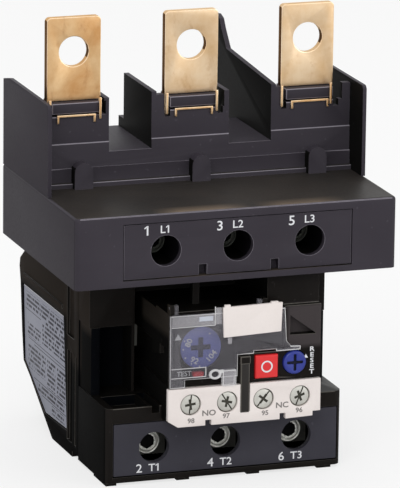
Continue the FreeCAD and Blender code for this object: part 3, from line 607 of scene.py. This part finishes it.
def shadeRecess(piece, finish, depth, reach, deepest=2.5 * mm):
    # the sunk cross in the front of a round piece gets a darker finish, as painted shade
    piece.data.materials.append(finishes[finish])
    xs = [v.co.x for v in piece.data.vertices]
    zs = [v.co.z for v in piece.data.vertices]
    front = min(v.co.y for v in piece.data.vertices)
    middle = Vector(((min(xs) + max(xs)) / 2, 0.0, (min(zs) + max(zs)) / 2))
    for face in piece.data.polygons:
        away = Vector((face.center.x, 0.0, face.center.z)) - middle
        if front + depth < face.center.y < front + deepest and away.length < reach:
            face.material_index = 2


def outlineRing(piece, width, front):
    # the margin of the front faces takes the second finish, here the cover's painted edge
    # highlight
    deselectMesh(piece)
    for face in piece.data.polygons:
        face.select = face.normal.y < -0.9 and abs(face.center.y - front) < 0.05 * mm
    editing(piece)
    bpy.ops.mesh.inset(thickness=width)
    doneEditing()
    for face in piece.data.polygons:
        if face.normal.y < -0.9 and abs(face.center.y - front) < 0.05 * mm and not face.select:
            face.material_index = 1


# heights and depths in mm that part one finish from the next
zones = {
    # the darkness of this pocket is painted shade
    "pocketFront": -40, "pocketLow": 26, "pocketHigh": 52,     # dark pocket under the adapter
    "outerSide": -50, "valleyLow": 99, "ledgeHigh": 104,       # adapter
}


def shadedSides():
    left, front, up = (-1.0, 0.0, 0.0), (0.0, -1.0, 0.0), (0.0, 0.0, 1.0)
    at = {name: value * mm for name, value in zones.items()}
    for node in ("relay_base", "front_housing", "control_housing"):
        faced(edged[node], "caseSideShadeAndLight", left)
        faced(edged[node], "caseTopShade", up)
    for node in ("relay_base", "front_housing"):
        faced(edged[node], "compartment", front,
              lambda c: c.y > at["pocketFront"] and at["pocketLow"] < c.z < at["pocketHigh"])
    for side in ("left", "middle", "right"):
        faced(edged["lug_" + side], "lugSideShade", left)
    faced(adapter, "adapterInnerShade", left,
          lambda c: c.x > at["outerSide"] and c.z > at["valleyLow"])
    faced(adapter, "adapterSideShade", left, lambda c: c.x < at["outerSide"])
    faced(adapter, "adapterTopShadeAndReflection", up, lambda c: c.z < at["ledgeHigh"])


adapter = adapterMoulding()
print("adapter moulding faces:", len(adapter.data.polygons))
edged = edgedNodes()
shadedSides()
outlineRing(edged["clear_cover"], 0.28 * mm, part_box("clear_cover")[0][1])
shadeRecess(edged["reset_knob"], "knobShade", 0.2 * mm, 3.4 * mm)
shadeRecess(edged["current_dial"], "dialShade", 0.3 * mm, 4.0 * mm)
print("edged nodes:", len(edged))


def flagOne(text, height):
    # the short stroke at the head of the numeral, joined to the letters' mesh
    right = max(v.co.x for v in text.data.vertices)
    top = max(v.co.y for v in text.data.vertices)
    bpy.ops.object.select_all(action="DESELECT")
    bpy.ops.mesh.primitive_cube_add(size=1.0)
    flag = bpy.context.object
    flag.data.transform(
        Matrix.Translation((right - 0.26 * height, top - 0.17 * height, 0.0))
        @ Matrix.Rotation(math.radians(38), 4, "Z")
        @ Matrix.Diagonal((0.34 * height, 0.13 * height, 0.06 * mm, 1.0)))
    onlySelect(text)
    flag.select_set(True)
    bpy.ops.object.join()


def lettering(name, words, height, place, body, ink="white", slot="adapter", turn=0.0,
              bold=0.012, squeeze=1.08):
    # capital height is about 0.69 of the letters' nominal size
    bpy.ops.object.select_all(action="DESELECT")
    bpy.ops.object.text_add()
    text = bpy.context.object
    text.name = name
    text.data.body = words
    text.data.size = height / 0.69
    text.data.align_x = "CENTER"
    text.data.align_y = "CENTER"
    text.data.offset = bold * height
    text.data.extrude = 0.03 * mm
    text.data.resolution_u = 3
    bpy.ops.object.convert(target="MESH")
    if words.endswith("1"):
        flagOne(text, height)
    spin = Matrix.Rotation(turn, 4, "Z") @ Matrix.Diagonal((squeeze, 1.0, 1.0, 1.0))
    stand = Matrix.Rotation(math.radians(90), 4, "X")
    text.data.transform(Matrix.Translation(place) @ stand @ spin)
    return dressed(text, ink, body, slot)


screwHeadWidth = 9.6 * mm
terminalMarks = {
    "upperNumber": 3.4 * mm, "upperName": 2.7 * mm, "upperRise": 7.5 * mm, "upperShift": -7.0 * mm,
    "lowerNumber": 3.1 * mm, "lowerName": 2.7 * mm, "lowerDrop": 7.6 * mm, "lowerShift": -5.6 * mm,
}


def terminalLettering():
    look = terminalMarks
    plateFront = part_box("adapter_cover_plate")[0][1] - 0.02 * mm
    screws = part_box("upper_clamp_screws")
    rise = (screws[0][2] + screws[1][2]) / 2 + look["upperRise"]
    for i, x in enumerate(columns("upper_clamp_screws", screwHeadWidth)):
        lettering("mark_supply_number_%d" % i, str(2 * i + 1), look["upperNumber"],
                  (x + look["upperShift"], plateFront, rise), "relay")
        lettering("mark_supply_name_%d" % i, "L%d" % (i + 1), look["upperName"],
                  (x - 0.3 * mm, plateFront, rise + 0.2 * mm), "relay")
    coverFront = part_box("terminal_cover")[0][1] - 0.02 * mm
    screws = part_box("lower_clamp_screws")
    drop = (screws[0][2] + screws[1][2]) / 2 - look["lowerDrop"]
    for i, x in enumerate(columns("lower_clamp_screws", screwHeadWidth)):
        lettering("mark_load_number_%d" % i, str(2 * i + 2), look["lowerNumber"],
                  (x + look["lowerShift"], coverFront, drop), "relay", slot="grey_panel")
        lettering("mark_load_name_%d" % i, "T%d" % (i + 1), look["lowerName"],
                  (x + 0.2 * mm, coverFront, drop), "relay", slot="grey_panel")


terminalLettering()
print("terminal marks done")


def block(name, low, high, finish, body, slot, edge=0.0, rim=None):
    # low and high are opposite corners in mm
    bpy.ops.object.select_all(action="DESELECT")
    bpy.ops.mesh.primitive_cube_add(size=1.0)
    piece = bpy.context.object
    piece.name = name
    size = [(b - a) * mm for a, b in zip(low, high)]
    middle = [(a + b) / 2 * mm for a, b in zip(low, high)]
    piece.data.transform(Matrix.Translation(middle) @ Matrix.Diagonal((*size, 1.0)))
    if edge:
        roundEdges(piece, edge * mm, finish=finish, rim=rim)
        return dressed(piece, None, body, slot)
    return dressed(piece, finish, body, slot)


def disc(name, x, z, front, depth, radius, finish, body, slot, sides=32, turn=0.0, edge=0.0,
         squash=1.0):
    # a round or many-sided plate that faces the front, in mm
    bpy.ops.object.select_all(action="DESELECT")
    bpy.ops.mesh.primitive_cylinder_add(vertices=sides, radius=radius * mm, depth=depth * mm)
    piece = bpy.context.object
    piece.name = name
    piece.data.transform(
        Matrix.Translation((x * mm, (front + depth / 2) * mm, z * mm))
        @ Matrix.Diagonal((1.0, 1.0, squash, 1.0)) @ Matrix.Rotation(turn, 4, "Y")
        @ Matrix.Rotation(math.radians(90), 4, "X"))
    if edge:
        roundEdges(piece, edge * mm, finish=finish)
    return dressed(piece, finish, body, slot)


def ring(name, x, z, front, radius, width, thick, finish, body, slot, squash=1.0):
    # a ring that faces the front, in mm
    bpy.ops.object.select_all(action="DESELECT")
    bpy.ops.mesh.primitive_torus_add(major_radius=radius * mm, minor_radius=width / 2 * mm,
                                     major_segments=48, minor_segments=12)
    piece = bpy.context.object
    piece.name = name
    flat = thick / width
    piece.data.transform(
        Matrix.Translation((x * mm, front * mm, z * mm))
        @ Matrix.Diagonal((1.0, flat, squash, 1.0)) @ Matrix.Rotation(math.radians(90), 4, "X"))
    onlySelect(piece)
    bpy.ops.object.shade_smooth()
    return dressed(piece, finish, body, slot)


def carve(piece, cutters):
    for cutter in cutters:
        cut = piece.modifiers.new("cut", "BOOLEAN")
        cut.operation = "DIFFERENCE"
        cut.solver = "EXACT"
        cut.material_mode = "TRANSFER"
        cut.object = cutter
    applyModifiers(piece)
    for cutter in cutters:
        bpy.data.objects.remove(cutter)
    return piece


# places are x, z in mm; letters stand on the plate of the auxiliary terminals
auxMarks = {
    "numbers": (("98", -15.7, 24.5), ("97", -2.5, 25.3), ("95", 12.2, 25.2), ("96", 25.1, 25.2)),
    "pairs": (("NO", -9.0, 26.9), ("NC", 18.6, 27.6)),
    "numberHeight": 1.7 * mm, "pairHeight": 2.0 * mm,
    "screwTurns": ((-8.0, 96.0), (12.0, 58.0), (38.0, 130.0), (-20.0, 112.0)),    # cross, slot
}


def auxLettering():
    look = auxMarks
    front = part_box("aux_terminal_block")[0][1] - 0.02 * mm
    for words, x, z in look["numbers"]:
        lettering("mark_aux_" + words, words, look["numberHeight"], (x * mm, front, z * mm),
                  "relay", "grey", "white_plastic", bold=0.03)
    for words, x, z in look["pairs"]:
        lettering("mark_aux_" + words, words, look["pairHeight"], (x * mm, front, z * mm),
                  "relay", "grey", "white_plastic", bold=0.03, squeeze=1.15)


def auxScrewHeads():
    low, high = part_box("aux_screws")
    first = low[0] / mm + 3.6
    pitch = (high[0] / mm - 3.6 - first) / 3
    level = (low[2] + high[2]) / 2 / mm
    front = low[1] / mm
    for i, (crossTurn, slotTurn) in enumerate(auxMarks["screwTurns"]):
        x = first + pitch * i
        head = disc("aux_head_%d" % i, x, level, front - 0.3, 0.6, 3.5, "pinHead", "relay",
                    "screw_steel", 48, 0.0, 0.22)
        cuts = []
        for wide, tall, turn in ((7.6, 0.5, slotTurn), (4.0, 0.9, crossTurn),
                                 (0.9, 4.0, crossTurn)):
            bar = block("bar", (-wide / 2, front - 1.0, -tall / 2),
                        (wide / 2, front - 0.05, tall / 2), "recessShade", "relay", "screw_steel")
            bar.data.transform(Matrix.Translation((x * mm, 0.0, level * mm))
                               @ Matrix.Rotation(math.radians(turn), 4, "Y"))
            cuts.append(bar)
        carve(head, cuts)


faceMarks = {
    "pointer": (-19.7, 54.4, 1.5),                 # x, z, size
    "dots": ((156.0, 6.75), (183.0, 6.6), (211.0, 6.7), (239.0, 6.7), (267.0, 6.9), (56.0, 5.9)),
    "numbers": (("80", 156.0, 4.9, -90.0), ("92", 243.0, 5.2, 90.0), ("104", 319.0, 5.3, 90.0)),
    "numberHeight": 2.0 * mm,
    "test": (-17.3, 41.0, 1.75),
    "reset": (29.8, 47.4, 2.1, 1.6),               # x, z of the first letter, step, height
    "resetPointer": (27.5, 44.8, 0.95),
}


def controlMarks():
    look = faceMarks
    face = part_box("current_dial")[0][1] / mm - 0.45
    x, z, size = look["pointer"]
    disc("mark_pointer", x, z, face, 0.05, size, "white", "relay", "relay_case", 3)
    lettering("mark_test", "TEST", look["test"][2] * mm,
              (look["test"][0] * mm, face * mm, look["test"][1] * mm), "relay",
              slot="relay_case", squeeze=1.0, bold=0.02)
    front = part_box("control_housing")[0][1] / mm - 0.03
    x, z, step, height = look["reset"]
    for i, letter in enumerate("RESET"):
        lettering("mark_reset_%d" % i, letter, height * mm,
                  (x * mm, front * mm, (z - step * i) * mm), "relay", slot="relay_case",
                  squeeze=1.3, bold=0.03)
    x, z, size = look["resetPointer"]
    disc("mark_reset_pointer", x, z, front, 0.05, size, "white", "relay", "relay_case", 3)


def dialMarks():
    look = faceMarks
    low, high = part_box("current_dial")
    x, z = (low[0] + high[0]) / 2 / mm, (low[2] + high[2]) / 2 / mm
    front = low[1] / mm - 0.03
    body = bodyOf["current_dial"]
    for i, (angle, away) in enumerate(look["dots"]):
        place = math.radians(angle)
        disc("mark_dial_dot_%d" % i, x + away * math.cos(place), z + away * math.sin(place), front,
             0.06, 0.3, "white", body, "dial_blue", 12)
    for words, angle, away, lean in look["numbers"]:
        place = math.radians(angle)
        across, rise = x + away * math.cos(place), z + away * math.sin(place)
        lettering("mark_dial_" + words, words, look["numberHeight"],
                  (across * mm, front * mm, rise * mm), body, slot="dial_blue",
                  turn=math.radians(angle + lean), bold=0.03)


def buttonMarks():
    low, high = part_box("stop_button")
    ring("mark_stop", (low[0] + high[0]) / 2 / mm, (low[2] + high[2]) / 2 / mm, low[1] / mm, 1.9,
         0.58, 0.1, "white", bodyOf["stop_button"], "stop_red")


# ridges, pads and the sealing eyelet of the clear cover; corners in mm, x and z
coverTrim = {
    "ridges": ((-23.4, 59.1, -7.1, 59.4), (-7.3, 59.1, -7.0, 66.0), (-23.4, 43.9, -10.4, 44.2),
               (-10.6, 40.7, -10.3, 44.2), (-23.4, 40.5, -10.3, 40.8)),
    "bar": (-13.1, 61.0, -8.0, 62.7), "strip": (-23.2, 59.5, -7.4, 63.4),
    "pads": ((-6.9, 59.5, -4.7, 65.6), (-2.4, 51.9, -0.8, 54.9)),
    "eyelet": (-7.0, 41.2, 1.85, 1.1),             # x, z, radius, width
    "lug": (-4.2, 36.4, 1.0, 42.4),
}


def coverDetails():
    look = coverTrim
    body = bodyOf["clear_cover"]
    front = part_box("clear_cover")[0][1] / mm
    # the ridges, eyelet and seal arm take the painted edge highlight
    for i, (x0, z0, x1, z1) in enumerate(look["ridges"]):
        block("cover_ridge_%d" % i, (x0, front - 0.12, z0), (x1, front + 0.02, z1), "clearEdgeHighlight",
              body, "clear_plastic")
    for i, (x0, z0, x1, z1) in enumerate(look["pads"]):
        block("cover_pad_%d" % i, (x0, front - 0.2, z0), (x1, front + 0.02, z1), "clearLug", body,
              "clear_plastic", 0.08)
    x0, z0, x1, z1 = look["bar"]
    block("cover_bar", (x0, front - 0.14, z0), (x1, front - 0.06, z1), "faint", body,
          "clear_plastic")
    x0, z0, x1, z1 = look["strip"]
    block("cover_strip", (x0, front - 0.03, z0), (x1, front + 0.02, z1), "clearLug", body,
          "clear_plastic")
    x, z, radius, width = look["eyelet"]
    ring("cover_eyelet", x, z, front - 0.2, radius, width, 0.9, "clearEdgeHighlight", body, "clear_plastic",
         0.8)
    block("cover_seal_arm", (x + 1.6, front - 0.4, z + 0.2), (x + 3.2, front + 0.3, z + 1.5),
          "clearEdgeHighlight", body, "clear_plastic", 0.2)
    x0, z0, x1, z1 = look["lug"]
    block("cover_seal_lug", (x0, front - 0.5, z0), (x1, front + 1.6, z1), "clearLug", body,
          "clear_plastic", 0.35, "clearEdgeHighlight")


def dividerBar():
    # the dark rib between the two pairs of auxiliary terminals
    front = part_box("aux_terminal_block")[0][1] / mm
    block("divider_rib", (2.7, front - 0.3, 26.0), (6.2, front + 1.9, 46.6), "rib", "relay",
          "relay_case", 0.45, "caseEdgeHighlight")
    block("divider_cap", (2.5, front - 0.55, 43.9), (6.4, front + 1.5, 46.9), "case", "relay",
          "relay_case", 0.4, "caseEdgeHighlight")


def clampDetails():
    # painted-shade discs in the sockets and raised rings of the clamp screws, seen down their
    # holes
    for node, finish in (("upper_clamp_screws", "screwShaded"), ("lower_clamp_screws", "screwGrey")):
        low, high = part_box(node)
        level = (low[2] + high[2]) / 2 / mm
        front = low[1] / mm
        for i, x in enumerate(columns(node, screwHeadWidth)):
            disc("%s_socket_%d" % (node, i), x / mm, level, front - 0.05, 0.5, 2.9, "shade",
                 "relay", "screw_steel", 6)
            for name, radius, width, thick in (("rim", 4.35, 0.7, 0.7), ("step", 3.35, 0.55, 0.5)):
                ring("%s_%s_%d" % (node, name, i), x / mm, level, front, radius, width, thick,
                     finish, "relay", "screw_steel")


# in mm; the middles are those of the slots beside each retainer
lugLegs = {
    "middles": {"left": -45.8, "middle": -1.9, "right": 41.7},
    "reach": 9.4, "width": 0.9, "thick": 0.7, "top": 134.2, "low": 126.4, "front": -12.6,
}


def legStrips():
    # the bent legs of each lug that show beside its retainer
    look = lugLegs
    for side, middle in look["middles"].items():
        for k in (-1, 1):
            x = middle + k * look["reach"]
            block("lug_leg_%s_%d" % (side, k + 1),
                  (x - look["width"] / 2, look["front"], look["low"]),
                  (x + look["width"] / 2, look["front"] + look["thick"], look["top"]), "lug",
                  "relay", "bar_metal", 0.2, "lugEdgeHighlight")


legStrips()
auxLettering()
auxScrewHeads()
controlMarks()
dialMarks()
buttonMarks()
coverDetails()
dividerBar()
clampDetails()
print("control face dressed")


cameraSetup = {
    "azimuth": 19.125, "elevation": 14.408, "roll": 0.713,   # degrees
    "distance": 1947.15 * mm, "target": (-7.08 * mm, -38.0 * mm, 84.5 * mm), "lens": 492.5,
}


def aimedCamera():
    setup = cameraSetup
    az = math.radians(setup["azimuth"])
    el = math.radians(setup["elevation"])
    ahead = Vector((math.sin(az) * math.cos(el), math.cos(az) * math.cos(el), -math.sin(el)))
    side = Vector((math.cos(az), -math.sin(az), 0.0))
    top = side.cross(ahead)
    lean = math.radians(setup["roll"])
    across = side * math.cos(lean) + top * math.sin(lean)
    upward = top * math.cos(lean) - side * math.sin(lean)
    camera = bpy.data.objects.new("camera", bpy.data.cameras.new("camera"))
    bpy.context.scene.collection.objects.link(camera)
    spin = Matrix((across, upward, -ahead)).transposed().to_4x4()
    stand = Vector(setup["target"]) - ahead * setup["distance"]
    camera.matrix_world = Matrix.Translation(stand) @ spin
    camera.data.sensor_fit = "HORIZONTAL"
    camera.data.sensor_width = 36.0
    camera.data.lens = setup["lens"]
    camera.data.clip_end = 100.0
    bpy.context.scene.camera = camera


lights = {
    "key": {"at": (-0.9, -1.5, 1.5), "size": 1.3, "power": 17.0},
    "fill": {"at": (1.4, -1.3, 0.7), "size": 1.4, "power": 8.0},
    "top": {"at": (0.2, 0.3, 1.7), "size": 1.2, "power": 6.5},
}
room = {"ambient": 0.62, "floorTone": 0.86, "floorGlow": 0.72}


def softLight(name, at, size, power):
    light = bpy.data.lights.new(name, "AREA")
    light.shape = "SQUARE"
    light.size = size
    light.energy = power
    lamp = bpy.data.objects.new(name, light)
    lamp.location = at
    toward = Vector((0.0, 0.0, 0.08)) - Vector(at)
    lamp.rotation_euler = toward.to_track_quat("-Z", "Y").to_euler()
    bpy.context.scene.collection.objects.link(lamp)


def seenDirectly(tree):
    # 1 for rays that show the background itself, in the picture or in gloss and glass
    path = tree.nodes.new("ShaderNodeLightPath")
    parts = [Signal(tree, path.outputs[n]) for n in (
        "Is Camera Ray", "Is Glossy Ray", "Is Transmission Ray")]
    return (parts[0] + parts[1] + parts[2]).clipped()


def whiteRoom():
    world = bpy.data.worlds.new("studio")
    bpy.context.scene.world = world
    world.use_nodes = True
    tree = world.node_tree
    glow = tree.nodes["Background"]
    glow.inputs["Color"].default_value = (1.0, 1.0, 1.0, 1.0)
    seen = seenDirectly(tree)
    plug(tree, glow.inputs["Strength"], seen * (1.0 - room["ambient"]) + room["ambient"])


def paleFloor():
    bpy.ops.object.select_all(action="DESELECT")
    bpy.ops.mesh.primitive_plane_add(size=60.0, location=(0.0, 0.0, -0.00005))
    floor = bpy.context.object
    floor.name = "floor"
    finish = Finish("floorPaint", Roughness=0.9, Specular_IOR_Level=0.0)
    tone = room["floorTone"]
    fleck = finish.noise(40.0, 3.0)
    finish.wear(Base_Color=finish.blend(fleck * 0.1, (tone, tone, tone), (tone * 0.97,) * 3))
    tree = finish.tree
    glow = tree.nodes.new("ShaderNodeEmission")
    glow.inputs["Strength"].default_value = 1.0
    mixer = tree.nodes.new("ShaderNodeMixShader")
    path = tree.nodes.new("ShaderNodeLightPath")
    seen = Signal(tree, path.outputs["Is Camera Ray"])
    plug(tree, mixer.inputs[0], seen * room["floorGlow"])
    tree.links.new(finish.shader.outputs[0], mixer.inputs[1])
    tree.links.new(glow.outputs[0], mixer.inputs[2])
    tree.links.new(mixer.outputs[0], tree.nodes["Material Output"].inputs[0])
    floor.data.materials.append(finish.material)


aimedCamera()
for name, values in lights.items():
    softLight(name, **values)
whiteRoom()
paleFloor()
bpy.context.scene.view_settings.view_transform = "Standard"
print("camera, lights and floor ready")
